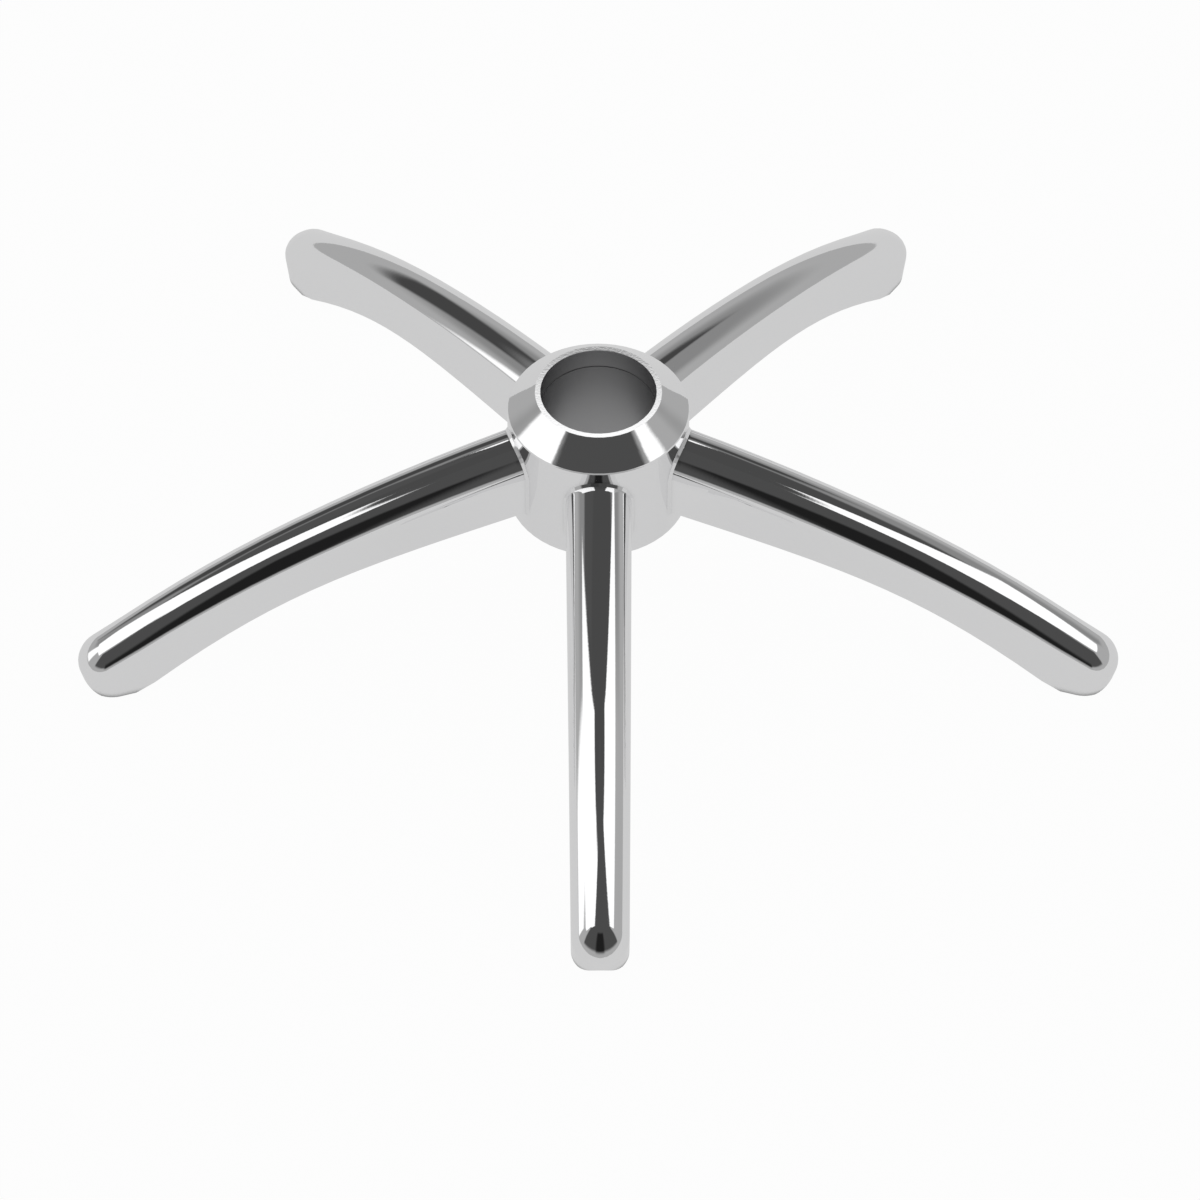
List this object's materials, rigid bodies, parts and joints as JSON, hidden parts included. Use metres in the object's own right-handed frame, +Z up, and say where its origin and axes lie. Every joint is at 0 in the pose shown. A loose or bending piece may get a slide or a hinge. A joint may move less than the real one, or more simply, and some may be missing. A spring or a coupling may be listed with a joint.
{
  "type": "stool base",
  "caption": "Polished cast aluminium star base for a stool or swivel chair, with a tapered column bore in a conical hub and curved arms hollow underneath.",
  "frame": {"origin": "centre of the column bore's mouth, on the hub's flat top ring", "axes": "+Z up along the column; one arm points along -Y, towards the picture's camera; the floor is at z = -0.1073"},
  "size_m": [0.4536, 0.4328, 0.1073],
  "materials": {
    "polished_aluminium": "mirror polished, with the bore left as machined"
  },
  "bodies": {
    "root": {"five_star_base": "polished_aluminium"}
  },
  "joints": []
}
